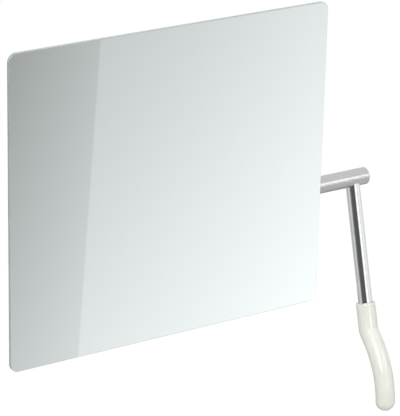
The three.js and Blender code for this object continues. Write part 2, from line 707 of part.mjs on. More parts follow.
// Seat block under the tube, drawn in (y, z) with its base on the carrier's web.
function saddleGeometry() {
  const mouth = chordHalf(seatRadius, saddleFace);
  const angle = Math.atan2(mouth, saddleFace);
  const shape = new THREE.Shape();
  shape.moveTo(saddleFace, mouth);
  shape.lineTo(saddleFace, strapEarHalf);
  shape.lineTo(carrierBack, strapEarHalf + SADDLE_DRAFT);
  shape.lineTo(carrierBack, -strapEarHalf - SADDLE_DRAFT);
  shape.lineTo(saddleFace, -strapEarHalf);
  shape.lineTo(saddleFace, -mouth);
  shape.absarc(0, 0, seatRadius, 2 * Math.PI - angle, angle, true);
  shape.closePath();
  const block = extrudeAlongX(shape, SADDLE_WIDTH, BEARING_FACETS / 2);
  return cut(block, ...strapScrewHoles(carrierBack - PAST_FACE, saddleFace + PAST_FACE));
}

// Strap bent over the back of the tube, with a flat ear above and below.
function strapGeometry() {
  const mouth = chordHalf(seatRadius, strapFace);
  const mouthAngle = Math.atan2(mouth, strapFace);
  const shoulder = chordHalf(strapRadius, strapEarBack);
  const shoulderAngle = Math.atan2(shoulder, strapEarBack);
  const shape = new THREE.Shape();
  shape.moveTo(strapFace, mouth);
  shape.lineTo(strapFace, strapEarHalf);
  shape.lineTo(strapEarBack, strapEarHalf);
  shape.lineTo(strapEarBack, shoulder);
  shape.absarc(0, 0, strapRadius, shoulderAngle, -shoulderAngle, true);
  shape.lineTo(strapEarBack, -strapEarHalf);
  shape.lineTo(strapFace, -strapEarHalf);
  shape.lineTo(strapFace, -mouth);
  shape.absarc(0, 0, seatRadius, -mouthAngle, mouthAngle, false);
  shape.closePath();
  const strap = extrudeAlongX(shape, STRAP_WIDTH, BEARING_FACETS / 2);
  return cut(strap, ...strapScrewHoles(strapFace - PAST_FACE, strapEarBack + PAST_FACE));
}

const tapeWidth = CARRIER_FLANGE - 2 * TAPE_INSET;
const tapeOffset = CARRIER_WEB / 2 + CARRIER_FLANGE - TAPE_INSET - tapeWidth / 2;
const tapeLength = carrierLength - 2 * TAPE_INSET;

for (const [sideName, side] of SIDES) {
  const x = side * carrierX;
  add(onAxis, `carrier_${sideName}`, carrierGeometry(), zincedSteel, [x, 0, 0]);
  add(onAxis, `saddle_${sideName}`, saddleGeometry(), castAluminium, [x, 0, 0]);
  add(onAxis, `saddle_strap_${sideName}`, strapGeometry(), zincedSteel, [x, 0, 0]);
  for (const [edgeName, edge] of [['outer', side], ['inner', -side]]) {
    const tape = new THREE.BoxGeometry(tapeWidth, TAPE_THICKNESS, tapeLength);
    const place = [x + edge * tapeOffset, filmBack + TAPE_THICKNESS / 2, carrierMiddle];
    add(onAxis, `bond_tape_${sideName}_${edgeName}`, tape, blackFoam, place);
  }
  for (const [endName, end] of ENDS) {
    const screw = socketScrew(M5, STRAP_SCREW_LENGTH);
    const place = [x, strapEarBack, end * strapScrewOffset];
    add(onAxis, `strap_screw_${sideName}_${endName}`, screw, zincedSteel, place);
  }
}

// ---------- Lever ----------
// Drawn along -Z from the tube's axis, then turned forward about it by this group.

const lever = new THREE.Group();
lever.position.set(leverX, 0, 0);
lever.rotation.set(leverTurn, 0, 0);
onAxis.add(lever);

// The horizontal tube with a fit gap around it, which copes whatever meets it from below.
function copeTool() {
  return cylinderAlongX(seatRadius, -SHAFT_DIAMETER, SHAFT_DIAMETER);
}

const leverEnd = -(GRIP_START + LEVER_IN_GRIP);

function leverTubeGeometry() {
  const section = new THREE.Shape();
  section.absarc(0, 0, leverRadius, 0, 2 * Math.PI, false);
  const bore = new THREE.Path();
  bore.absarc(0, 0, leverRadius - LEVER_WALL, 0, 2 * Math.PI, true);
  section.holes.push(bore);
  const tube = extrudeAlongZ(section, -leverEnd, LEVER_FACETS).translate(0, 0, leverEnd / 2);
  return cut(tube, copeTool());
}

// Stack inside the tubes: saddle washer on the inner wall, then the bolt into the insert.
const innerWall = shaftRadius - SHAFT_WALL - FIT_GAP;
const washerTop = LEVER_WASHER_FLOOR - innerWall;
const boltSeat = washerTop + FIT_GAP;
const boltEnd = boltSeat - LEVER_BOLT_LENGTH;

function leverInsertGeometry() {
  const radius = leverRadius - LEVER_WALL - FIT_GAP;
  const plug = cylinderAlongZ(radius, -seatRadius - LEVER_INSERT_LENGTH, 0, BEARING_FACETS);
  const thread = cylinderAlongZ(M6.shank + FIT_GAP, boltEnd - LEVER_THREAD_RUNOUT, 0);
  return cut(plug, copeTool(), thread);
}

function leverWasherGeometry() {
  const disc = cylinderAlongZ(LEVER_WASHER_RADIUS, -shaftRadius, washerTop);
  const curved = keep(disc, cylinderAlongX(innerWall, -SHAFT_DIAMETER, SHAFT_DIAMETER));
  return cut(curved, cylinderAlongZ(M6.shank + FIT_GAP, -shaftRadius - PAST_FACE, 0));
}

add(lever, 'lever_tube', leverTubeGeometry(), polishedSteel);
add(lever, 'lever_insert', leverInsertGeometry(), zincedSteel);
add(lever, 'lever_washer', leverWasherGeometry(), zincedSteel);
const leverBolt = socketScrew(M6, LEVER_BOLT_LENGTH);
add(lever, 'lever_bolt', leverBolt, zincedSteel, [0, 0, boltSeat], [Math.PI / 2, 0, 0]);

// ---------- Grip ----------

// Stations along the grip's centre line, in the lever's (y, z) plane, each with a heading and a
// radius: a straight sleeve, a tight kink forward, a short slope, a long bend back and a round tip.
function gripStations() {
  const [rimSteps, kinkSteps, returnSteps, tipSteps] = [3, 6, 12, 6];
  const place = new THREE.Vector2(0, -GRIP_START);
  const stations = [];
  let heading = 0;
  const mark = (radius, ahead = 0) => {
    const point = place.clone();
    point.x -= ahead * Math.sin(heading);
    point.y -= ahead * Math.cos(heading);
    stations.push({ point, heading, radius });
  };
  const advance = (length, turnAngle, steps) => {
    for (let i = 0; i < steps; i += 1) {
      const halfTurn = turnAngle / steps / 2;
      const step = length / steps;
      const chord = turnAngle === 0 ? step : step * Math.sin(halfTurn) / halfTurn;
      heading += halfTurn;
      place.x -= chord * Math.sin(heading);
      place.y -= chord * Math.cos(heading);
      heading += halfTurn;
      mark(gripRadius);
    }
  };
  for (let i = 0; i <= rimSteps; i += 1) {
    const angle = (i / rimSteps) * Math.PI / 2;
    const ahead = GRIP_RIM_ROUNDING * (1 - Math.cos(angle));
    mark(gripRadius - GRIP_RIM_ROUNDING * (1 - Math.sin(angle)), ahead);
  }
  advance(GRIP_SLEEVE, 0, 1);
  advance(GRIP_KINK_RADIUS * GRIP_KINK_ANGLE, GRIP_KINK_ANGLE, kinkSteps);
  advance(GRIP_SLOPE, 0, 1);
  advance(GRIP_RETURN_RADIUS * GRIP_RETURN_ANGLE, -GRIP_RETURN_ANGLE, returnSteps);
  for (let i = 1; i < tipSteps; i += 1) {
    const angle = (i / tipSteps) * Math.PI / 2;
    mark(gripRadius * Math.cos(angle), gripRadius * Math.sin(angle));
  }
  mark(0, gripRadius);
  return stations;
}

// Skin over the stations: a flat face at the rim, and the last station is the tip's pole.
function gripBody(stations) {
  const positions = [0, stations[0].point.x, stations[0].point.y];
  const rings = stations.slice(0, -1);
  for (const { point, heading, radius } of rings) {
    for (let i = 0; i < GRIP_FACETS; i += 1) {
      const angle = (i / GRIP_FACETS) * 2 * Math.PI;
      const forward = radius * Math.sin(angle);
      positions.push(radius * Math.cos(angle));
      positions.push(point.x - forward * Math.cos(heading), point.y + forward * Math.sin(heading));
    }
  }
  const pole = stations[stations.length - 1].point;
  positions.push(0, pole.x, pole.y);
  const at = (ring, i) => 1 + ring * GRIP_FACETS + (i % GRIP_FACETS);
  const last = rings.length - 1;
  const poleIndex = 1 + rings.length * GRIP_FACETS;
  const faces = [];
  for (let i = 0; i < GRIP_FACETS; i += 1) {
    faces.push(0, at(0, i + 1), at(0, i));
    faces.push(poleIndex, at(last, i), at(last, i + 1));
    for (let ring = 0; ring < last; ring += 1) {
      faces.push(at(ring, i), at(ring, i + 1), at(ring + 1, i + 1));
      faces.push(at(ring, i), at(ring + 1, i + 1), at(ring + 1, i));
    }
  }
  const geometry = new THREE.BufferGeometry();
  geometry.setAttribute('position', new THREE.Float32BufferAttribute(positions, 3));
  geometry.setIndex(faces);
  return geometry;
}

const gripScrewZ = -(GRIP_START + GRIP_SCREW_BELOW_RIM);

function gripGeometry() {
  const socketEnd = leverEnd - LEVER_END_GAP;
  const socket = cylinderAlongZ(leverRadius + FIT_GAP, socketEnd, -GRIP_START + PAST_FACE, GRIP_FACETS);
  const screwHole = cylinderAlongY(M5.shank + FIT_GAP, leverRadius - PAST_FACE, gripRadius + PAST_FACE);
  return cut(gripBody(gripStations()), socket, screwHole.translate(0, 0, gripScrewZ));
}

add(lever, 'grip', gripGeometry(), ivoryPolyamide);
const gripScrewLength = gripRadius - leverRadius - 2 * FIT_GAP;
const gripScrew = grubScrew(M5_GRUB, gripScrewLength);
add(lever, 'grip_screw', gripScrew, zincedSteel, [0, leverRadius + FIT_GAP, gripScrewZ]);

export default mirror;
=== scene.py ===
"""Pivot wall mirror: a frameless glass on a steel tube that turns in two friction bearings on a
wall rail, tilted by a polished lever with a bent ivory grip. Metres, in the frame of the part."""

import math

import bmesh
import bpy
from mathutils import Matrix, Vector
from mathutils.geometry import tessellate_polygon


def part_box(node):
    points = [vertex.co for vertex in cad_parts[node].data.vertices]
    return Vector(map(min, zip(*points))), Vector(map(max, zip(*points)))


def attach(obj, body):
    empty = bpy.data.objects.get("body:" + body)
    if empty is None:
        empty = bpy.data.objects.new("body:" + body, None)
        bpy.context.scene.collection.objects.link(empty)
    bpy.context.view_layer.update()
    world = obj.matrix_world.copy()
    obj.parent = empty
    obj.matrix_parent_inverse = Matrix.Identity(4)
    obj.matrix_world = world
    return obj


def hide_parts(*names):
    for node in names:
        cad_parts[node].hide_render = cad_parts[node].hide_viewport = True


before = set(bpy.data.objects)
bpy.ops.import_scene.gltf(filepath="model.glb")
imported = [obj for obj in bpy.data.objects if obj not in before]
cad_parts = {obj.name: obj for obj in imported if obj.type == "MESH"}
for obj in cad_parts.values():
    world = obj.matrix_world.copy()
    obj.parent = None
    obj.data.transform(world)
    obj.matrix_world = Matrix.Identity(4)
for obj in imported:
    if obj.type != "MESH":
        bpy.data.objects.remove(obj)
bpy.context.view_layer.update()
scene = bpy.context.scene
scene.view_settings.view_transform = "Standard"

# ---------- Camera ----------
# The photograph's viewpoint: in front of the mirror's left side and above it, looking down by about
# 22 degrees through a long lens.

VIEWPOINT = Vector((-1.95566, -3.19933, 1.48985))
VIEW_RIGHT = (0.84362, -0.53646, 0.02264)
VIEW_UP = (0.18002, 0.32232, 0.92936)
VIEW_BACK = (-0.50586, -0.77995, 0.36849)
camera_lens = bpy.data.cameras.new("camera")
camera_lens.lens = 208.1
camera = bpy.data.objects.new("camera", camera_lens)
turned = Matrix((VIEW_RIGHT, VIEW_UP, VIEW_BACK)).transposed().to_4x4()
camera.matrix_world = Matrix.Translation(VIEWPOINT) @ turned
scene.collection.objects.link(camera)
scene.camera = camera

# ---------- Wall rail ----------
# A channel pressed from 3 mm steel sheet and coated white. Its web lies flat on the wall, held by
# four screws through the slots, and its flanges take the two bearing blocks.

MM = 0.001


def effect_group(name, inputs, outputs):
    """An empty shader node group with these named sockets, and its two end nodes."""
    group = bpy.data.node_groups.new(name, "ShaderNodeTree")
    for label, kind, value in inputs:
        socket = group.interface.new_socket(label, in_out="INPUT", socket_type=kind)
        socket.default_value = value
    for label in outputs:
        group.interface.new_socket(label, in_out="OUTPUT", socket_type="NodeSocketFloat")
    return group, group.nodes.new("NodeGroupInput"), group.nodes.new("NodeGroupOutput")


def surface_relief():
    """Fine grain that can be drawn out into streaks, with broader patches of the same lie."""
    group, given, result = effect_group("surface relief", [
        ("Grains per metre", "NodeSocketFloat", 1000.0),
        ("Patches per metre", "NodeSocketFloat", 60.0),
        ("Stretch", "NodeSocketVector", (1.0, 1.0, 1.0)),
    ], ["Relief", "Patches"])
    nodes, link = group.nodes, group.links.new
    place = nodes.new("ShaderNodeTexCoord")
    stretched = nodes.new("ShaderNodeVectorMath")
    stretched.operation = "MULTIPLY"
    link(place.outputs["Object"], stretched.inputs[0])
    link(given.outputs["Stretch"], stretched.inputs[1])
    layers = (("Grains per metre", 3, "Relief"), ("Patches per metre", 4, "Patches"))
    for scale, detail, label in layers:
        noise = nodes.new("ShaderNodeTexNoise")
        noise.inputs["Detail"].default_value = detail
        link(stretched.outputs[0], noise.inputs["Vector"])
        link(given.outputs[scale], noise.inputs["Scale"])
        spread = nodes.new("ShaderNodeMapRange")
        spread.inputs["From Min"].default_value = 0.3
        spread.inputs["From Max"].default_value = 0.7
        link(noise.outputs["Fac"], spread.inputs["Value"])
        link(spread.outputs["Result"], result.inputs[label])
    return group


def rubbed_edges():
    """A mask that is 1 on outer edges, broken up where handling has rubbed them less."""
    group, given, result = effect_group("rubbed edges", [
        ("Edge width", "NodeSocketFloat", 0.0006),
        ("Strength", "NodeSocketFloat", 1.0),
    ], ["Mask"])
    nodes, link = group.nodes, group.links.new
    geometry = nodes.new("ShaderNodeNewGeometry")
    rounded = nodes.new("ShaderNodeBevel")
    link(given.outputs["Edge width"], rounded.inputs["Radius"])
    agreement = nodes.new("ShaderNodeVectorMath")
    agreement.operation = "DOT_PRODUCT"
    link(geometry.outputs["Normal"], agreement.inputs[0])
    link(rounded.outputs["Normal"], agreement.inputs[1])
    edge = nodes.new("ShaderNodeMapRange")
    edge.inputs["From Min"].default_value = 0.995
    edge.inputs["From Max"].default_value = 0.9
    link(agreement.outputs["Value"], edge.inputs["Value"])
    place = nodes.new("ShaderNodeTexCoord")
    noise = nodes.new("ShaderNodeTexNoise")
    noise.inputs["Scale"].default_value = 180
    link(place.outputs["Object"], noise.inputs["Vector"])
    broken = nodes.new("ShaderNodeMath")
    broken.operation = "MULTIPLY"
    link(edge.outputs["Result"], broken.inputs[0])
    link(noise.outputs["Fac"], broken.inputs[1])
    scaled = nodes.new("ShaderNodeMath")
    scaled.operation = "MULTIPLY"
    link(broken.outputs["Value"], scaled.inputs[0])
    link(given.outputs["Strength"], scaled.inputs[1])
    link(scaled.outputs["Value"], result.inputs["Mask"])
    return group


RELIEF = surface_relief()
RUBBED = rubbed_edges()
COLOUR_A, COLOUR_B, MIXED_COLOUR = 6, 7, 2  # the colour sockets of a Mix node


def surface_finish(
        name, shades, roughness, grain, depth, patches=60, stretch=(1, 1, 1), metallic=0.0,
        rubbed=None):
    """A finish of two shades and two roughnesses in soft patches, over a relief of this depth.

    grain and patches are counted per metre, stretch draws them out into streaks, and rubbed holds
    the shade of worn edges and how strongly it shows.
    """
    material = bpy.data.materials.new(name)
    material.use_nodes = True
    nodes, link = material.node_tree.nodes, material.node_tree.links.new
    shader = nodes["Principled BSDF"]
    shader.inputs["Metallic"].default_value = metallic
    relief = nodes.new("ShaderNodeGroup")
    relief.node_tree = RELIEF
    relief.inputs["Grains per metre"].default_value = grain
    relief.inputs["Patches per metre"].default_value = patches
    relief.inputs["Stretch"].default_value = stretch
    colour = nodes.new("ShaderNodeValToRGB")
    for stop, shade in zip(colour.color_ramp.elements, shades):
        stop.color = (*shade, 1)
    link(relief.outputs["Patches"], colour.inputs["Fac"])
    base = colour.outputs["Color"]
    if rubbed:
        shade, strength = rubbed
        mask = nodes.new("ShaderNodeGroup")
        mask.node_tree = RUBBED
        mask.inputs["Strength"].default_value = strength
        worn = nodes.new("ShaderNodeMix")
        worn.data_type = "RGBA"
        link(mask.outputs["Mask"], worn.inputs["Factor"])
        link(base, worn.inputs[COLOUR_A])
        worn.inputs[COLOUR_B].default_value = (*shade, 1)
        base = worn.outputs[MIXED_COLOUR]
    link(base, shader.inputs["Base Color"])
    gloss = nodes.new("ShaderNodeMapRange")
    gloss.inputs["To Min"].default_value, gloss.inputs["To Max"].default_value = roughness
    link(relief.outputs["Patches"], gloss.inputs["Value"])
    link(gloss.outputs["Result"], shader.inputs["Roughness"])
    bump = nodes.new("ShaderNodeBump")
    bump.inputs["Strength"].default_value = 1.0
    bump.inputs["Distance"].default_value = depth
    link(relief.outputs["Relief"], bump.inputs["Height"])
    link(bump.outputs["Normal"], shader.inputs["Normal"])
    return material


SHARP_ANGLE = 35  # degrees between two faces from which their edge is sharp
SAME_PLACE = 1e-6
SAME_PLANE = math.radians(0.5)


def mesh_of(work, name):
    """The mesh of work that is complete."""
    mesh = bpy.data.meshes.new(name)
    work.to_mesh(mesh)
    work.free()
    return mesh


def show(name, work, finishes, body, nodes, sharp=SHARP_ANGLE):
    """Puts complete work on its body, in place of these nodes, smooth except at sharp edges."""
    mesh = mesh_of(work, name)
    piece = bpy.data.objects.new(name, mesh)
    scene.collection.objects.link(piece)
    for material in finishes:
        mesh.materials.append(material)
    mesh.shade_smooth()
    mesh.set_sharp_from_angle(angle=math.radians(sharp))
    even = piece.modifiers.new("even shading", "WEIGHTED_NORMAL")
    even.keep_sharp = True
    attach(piece, body)
    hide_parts(*nodes)


def show_broken(work, node, edge, finish, body, sharp=SHARP_ANGLE):
    """Shows work in place of a node, with its sharp edges broken by the given width."""
    bmesh.ops.remove_doubles(work, verts=work.verts, dist=SAME_PLACE)
    bmesh.ops.dissolve_limit(work, angle_limit=SAME_PLANE, verts=work.verts, edges=work.edges)
    if edge:
        limit = math.radians(sharp)
        corners = [e for e in work.edges if e.is_manifold and e.calc_face_angle(0) > limit]
        bmesh.ops.bevel(
            work, geom=corners, offset=edge, segments=2, profile=0.5, affect="EDGES",
            clamp_overlap=True)
    show(node + "_finished", work, [finish], body, [node], sharp)


FOLD_FACETS = 8
HOLE_FACETS = 24


def folded_sheet(corners, thickness, bend, start, end, holes, place):
    """Sheet folded at right angles along a centre line, in millimetres, with slots in its flats.

    It runs lengthwise from start to end. A hole is given as flat: [(distance past the flat's first
    corner, place along the sheet, half of the slot's straight length, radius)], and place turns a
    point of the section, and a place along the sheet, into a position.
    """
    line = [Vector(corner) for corner in corners]
    ways = [(after - before).normalized() for before, after in zip(line, line[1:])]
    normals = [way.orthogonal() for way in ways]
    radius = bend + thickness / 2
    work = bmesh.new()

    def pair(point, normal, along):
        """The vertices on both faces of the sheet at a point of its centre line."""
        to_face = normal * thickness / 2
        return [work.verts.new(place(*(point + side * to_face), along)) for side in (1, -1)]

    def rim(loop):
        """Faces through the sheet's thickness round a closed loop of pairs."""
        for near, far in zip(loop, loop[1:] + loop[:1]):
            work.faces.new((near[0], near[1], far[1], far[0]))

    def cover(around):
        """The same face on both sides of the sheet."""
        for face in (0, 1):
            work.faces.new([both[face] for both in around])

    edges = [(line[0], normals[0])]
    flats = []
    for k in range(1, len(ways)):
        turn = 1 if ways[k - 1].cross(ways[k]) > 0 else -1
        centre = line[k] - radius * ways[k - 1] + turn * radius * normals[k - 1]
        flats.append(len(edges) - 1)
        for i in range(FOLD_FACETS + 1):
            angle = math.pi / 2 * i / FOLD_FACETS
            normal = math.cos(angle) * normals[k - 1] + math.sin(angle) * normals[k]
            edges.append((centre - turn * radius * normal, normal))
    flats.append(len(edges) - 1)
    edges.append((line[-1], normals[-1]))
    first, last = (
        [pair(point, normal, along) for point, normal in edges] for along in (start, end))
    rim(first + last[::-1])
    for i in range(len(edges) - 1):
        around = [first[i], last[i], last[i + 1], first[i + 1]]
        if i not in flats or flats.index(i) not in holes:
            cover(around)
            continue
        k = flats.index(i)
        near, far = ((edges[j][0] - line[k]).dot(ways[k]) for j in (i, i + 1))
        outlines = [[(start, near), (end, near), (end, far), (start, far)]]
        for distance, along, straight, hole_radius in holes[k]:
            outline, loop = [], []
            for j in range(HOLE_FACETS):
                angle = 2 * math.pi * (j + 0.5) / HOLE_FACETS
                side = straight if math.cos(angle) > 0 else -straight
                lengthwise = along + side + hole_radius * math.cos(angle)
                crosswise = distance + hole_radius * math.sin(angle)
                outline.append((lengthwise, crosswise))
                loop.append(pair(line[k] + crosswise * ways[k], normals[k], lengthwise))
            outlines.append(outline)
            rim(loop)
            around += loop
        flat = [[(*point, 0) for point in outline] for outline in outlines]
        for triangle in tessellate_polygon(flat):
            cover([around[corner] for corner in triangle])
    bmesh.ops.recalc_face_normals(work, faces=work.faces)
    return work


def with_broken_edges(node, edge, finish, body, sharp=SHARP_ANGLE):
    """Shows the solid of a node with its sharp edges broken by the given width."""
    work = bmesh.new()
    work.from_mesh(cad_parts[node].data)
    show_broken(work, node, edge, finish, body, sharp)


powder_coat = surface_finish(
    "white powder coat", [(0.74, 0.74, 0.72), (0.80, 0.80, 0.78)], (0.42, 0.5), 900, 0.00005,
    rubbed=((0.5, 0.5, 0.5), 0.5))

# The rail's sizes, and how far its holes lie from its middle and from the wall, in millimetres
RAIL = dict(length=420, height=70, depth=14, sheet=3, bend=2)
WALL_SLOT = dict(across=180, above=18, straight=6.5, radius=3.5)
CROSS_HOLE = dict(across=130, depth=8.5, radius=3.3)
web = -RAIL["sheet"] / 2
top = (RAIL["height"] - RAIL["sheet"]) / 2
wall_slots = [
    (top + up * WALL_SLOT["above"], side * WALL_SLOT["across"],
     WALL_SLOT["straight"], WALL_SLOT["radius"])
    for up in (-1, 1) for side in (-1, 1)]
lower_holes, upper_holes = (
    [(distance, side * CROSS_HOLE["across"], 0, CROSS_HOLE["radius"]) for side in (-1, 1)]
    for distance in (RAIL["depth"] - CROSS_HOLE["depth"], CROSS_HOLE["depth"] + web))
rail = folded_sheet(
    [(-RAIL["depth"], -top), (web, -top), (web, top), (-RAIL["depth"], top)],
    RAIL["sheet"], RAIL["bend"], -RAIL["length"] / 2, RAIL["length"] / 2,
    {0: lower_holes, 1: wall_slots, 2: upper_holes},
    lambda y, z, x: Vector((x, y, z)) * MM)
show_broken(rail, "wall_rail", 0.4 * MM, powder_coat, "wall_mount")

# ---------- Bearing blocks and caps ----------
# Pedestals of cast aluminium, their feet held between the rail's flanges by cross screws. The cap
# clamps the bush round the tube, so that friction holds the mirror at any tilt.

cast_aluminium = surface_finish(
    "cast aluminium", [(0.40, 0.41, 0.42), (0.50, 0.51, 0.52)], (0.42, 0.58), 1300, 0.00006,
    patches=120, metallic=1.0, rubbed=((0.75, 0.75, 0.75), 1.2))
for side in ("left", "right"):
    for part in ("bearing_block_", "bearing_cap_"):
        with_broken_edges(part + side, 0.6 * MM, cast_aluminium, "wall_mount")

# ---------- Bushes ----------
# Flanged liners of dark polyamide, moulded in two halves. They rub on the tube and brake it.

dark_polyamide = surface_finish(
    "dark polyamide", [(0.030, 0.032, 0.035), (0.05, 0.052, 0.055)], (0.45, 0.6), 1800, 0.00002)
for side in ("left", "right"):
    for half in ("rear_", "front_"):
        with_broken_edges(
            "bush_" + half + side, 0.25 * MM, dark_polyamide, "wall_mount")

# ---------- Screws and spring washers ----------
# Zinc plated socket screws with knurled heads: two M5 clamp each cap over dished washers, and two
# M6 with low heads cross each foot. Turned from wire, then rolled, hardened and plated.


def closed_turning(profile, segments, axis, origin):
    """A profile of (radius, distance) pairs turned about an axis through the origin."""
    work = bmesh.new()
    along = Vector(axis).normalized()
    across = along.orthogonal().normalized()
    third = along.cross(across)
    rings = []
    for radius, distance in profile:
        centre = Vector(origin) + along * distance
        if radius == 0:
            rings.append([work.verts.new(centre)])
            continue
        ring = []
        for i in range(segments):
            angle = 2 * math.pi * i / segments
            place = centre + across * radius * math.cos(angle)
            ring.append(work.verts.new(place + third * radius * math.sin(angle)))
        rings.append(ring)
    for below, above in zip(rings, rings[1:]):
        for i in range(segments):
            j = (i + 1) % segments
            corners = [
                below[i % len(below)], below[j % len(below)],
                above[j % len(above)], above[i % len(above)]]
            work.faces.new(dict.fromkeys(corners))
    if len(rings[0]) > 1:
        for i in range(segments):
            j = (i + 1) % segments
            work.faces.new((rings[-1][i], rings[-1][j], rings[0][j], rings[0][i]))
    bmesh.ops.recalc_face_normals(work, faces=work.faces)
    return work


zinc_plating = surface_finish(
    "zinc plating", [(0.50, 0.52, 0.54), (0.62, 0.63, 0.64)], (0.28, 0.42), 1500, 0.00001,
    patches=300, metallic=1.0, rubbed=((0.80, 0.80, 0.80), 0.8))


KNURLS = 24
KNURL_DEPTH = 0.025  # share of the head's radius
SCREW_POINT = 0.4 * MM


def socket_screw(node, outward, shank, head, height, socket, length, body):
    """Socket screw whose head points outward, with its seat where the node has it."""
    low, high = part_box(node)
    out = Vector(outward)
    reach = abs((high - low).dot(out)) / 2
    seat = (low + high) / 2 + out * (reach - height)
    edge = 0.08 * head
    socket_floor = height - 0.55 * height
    work = closed_turning([
        (0, -length), (shank - SCREW_POINT, -length), (shank, -length + SCREW_POINT), (shank, 0),
        (head - edge, 0), (head, edge), (head, height - 2 * edge), (head - 2 * edge, height),
        (socket * 1.12, height), (socket, height - edge), (socket, socket_floor),
        (0, socket_floor - socket * 0.3),
    ], 2 * KNURLS, out, seat)
    across = out.orthogonal()
    third = across.normalized().cross(out)
    half_band = height / 2 - 1.2 * edge
    band = [v for v in work.verts if abs((v.co - seat).dot(out) - height / 2) < half_band]
    for vert in band:
        offset = vert.co - seat
        radial = offset - out * offset.dot(out)
        angle = math.atan2(radial.dot(third), radial.dot(across))
        if radial.length > head * 0.98:
            groove = round(angle / math.pi * KNURLS) % 2
            vert.co -= radial.normalized() * KNURL_DEPTH * head * groove
        elif socket * 0.9 < radial.length < socket * 1.2:
            sixth = (angle + 2 * math.pi) % (math.pi / 3) - math.pi / 6
            vert.co += radial * (math.cos(math.pi / 6) / math.cos(sixth) - 1)
    show(node + "_finished", work, [zinc_plating], body, [node], sharp=30)


M5 = dict(shank=2.5 * MM, head=4.25 * MM, height=5 * MM, socket=2.2 * MM)
M6_LOW = dict(shank=3 * MM, head=5.25 * MM, height=3.4 * MM, socket=2.4 * MM)
for side in ("left", "right"):
    for end, up in (("upper", 1), ("lower", -1)):
        socket_screw(
            f"cap_screw_{side}_{end}", (0, -1, 0), length=20 * MM, body="wall_mount", **M5)
        socket_screw(
            f"block_screw_{side}_{end}", (0, 0, up), length=17 * MM, body="wall_mount", **M6_LOW)
        with_broken_edges(
            f"spring_washer_{side}_{end}", 0, zinc_plating, "wall_mount", sharp=50)

# ---------- Collars ----------
# Turned steel rings that keep the tube from sliding sideways, each held by a headless screw. The
# right one carries the lug that meets the stops in its bearing block.

for side in ("left", "right"):
    with_broken_edges("collar_" + side, 0.3 * MM, zinc_plating, "mirror")
    with_broken_edges("collar_screw_" + side, 0.1 * MM, zinc_plating, "mirror")

# ---------- Horizontal tube ----------
# Stainless tube of 30 mm, 2 mm thick, ground lengthwise to a satin finish. A dark plug closes its
# hidden left end and a satin steel plug, flush and softly rounded, its right end.

AXIS = Vector((0, -56 * MM, 0))
TUBE = dict(radius=15 * MM, wall=2 * MM, left=-233 * MM, right=423 * MM)
satin_steel = surface_finish(
    "satin steel", [(0.48, 0.48, 0.48), (0.58, 0.58, 0.58)], (0.33, 0.38), 1500, 0.0000005,
    patches=420, stretch=(0.003, 1, 1), metallic=1.0)
TUBE_FACETS = 128
TUBE_EASE = 0.3 * MM
SEAM = 0.05 * MM  # half the width of the fine groove between a tube and its plug
tube = closed_turning([
    (TUBE["radius"] - TUBE["wall"], TUBE["left"]),
    (TUBE["radius"] - TUBE_EASE, TUBE["left"]),
    (TUBE["radius"], TUBE["left"] + TUBE_EASE),
    (TUBE["radius"], TUBE["right"] - SEAM),
    (TUBE["radius"] - SEAM, TUBE["right"]),
    (TUBE["radius"] - TUBE["wall"], TUBE["right"]),
], TUBE_FACETS, (1, 0, 0), AXIS)
show("shaft_tube_ground", tube, [satin_steel], "mirror", ["shaft_tube"])

PLUG = dict(flange=2 * MM, skirt=12.7 * MM, depth=12 * MM, wall=2 * MM)
PLUG_RIM_FACETS = 8


def end_plug(name, outward, start, rounding, finish, node):
    """Hollow plug pressed into the tube, with a flange as wide as the tube and a rounded rim."""
    radius, skirt, depth, wall = TUBE["radius"], PLUG["skirt"], PLUG["depth"], PLUG["wall"]
    profile = [
        (0, -wall), (skirt - wall, -wall), (skirt - wall, -depth), (skirt, -depth), (skirt, 0),
        (radius - SEAM, 0), (radius, SEAM),
    ]
    for i in range(PLUG_RIM_FACETS + 1):
        angle = math.pi / 2 * i / PLUG_RIM_FACETS
        profile.append((
            radius - rounding * (1 - math.cos(angle)),
            PLUG["flange"] - rounding * (1 - math.sin(angle))))
    profile.append((0, PLUG["flange"]))
    plug = closed_turning(profile, TUBE_FACETS, (outward, 0, 0), AXIS + Vector((start, 0, 0)))
    show(name, plug, [finish], "mirror", [node])


end_plug(
    "right_end_plug", 1, TUBE["right"], 1.2 * MM, satin_steel, "shaft_plug_right")
end_plug(
    "left_end_plug", -1, TUBE["left"], 0.6 * MM, dark_polyamide,
    "shaft_plug_left")

# ---------- Carriers, saddles and straps ----------
# Hat profiles folded from zinced sheet and bonded to the glass. A cast saddle on each takes the
# tube, and a pressed strap with two M5 screws holds it there.

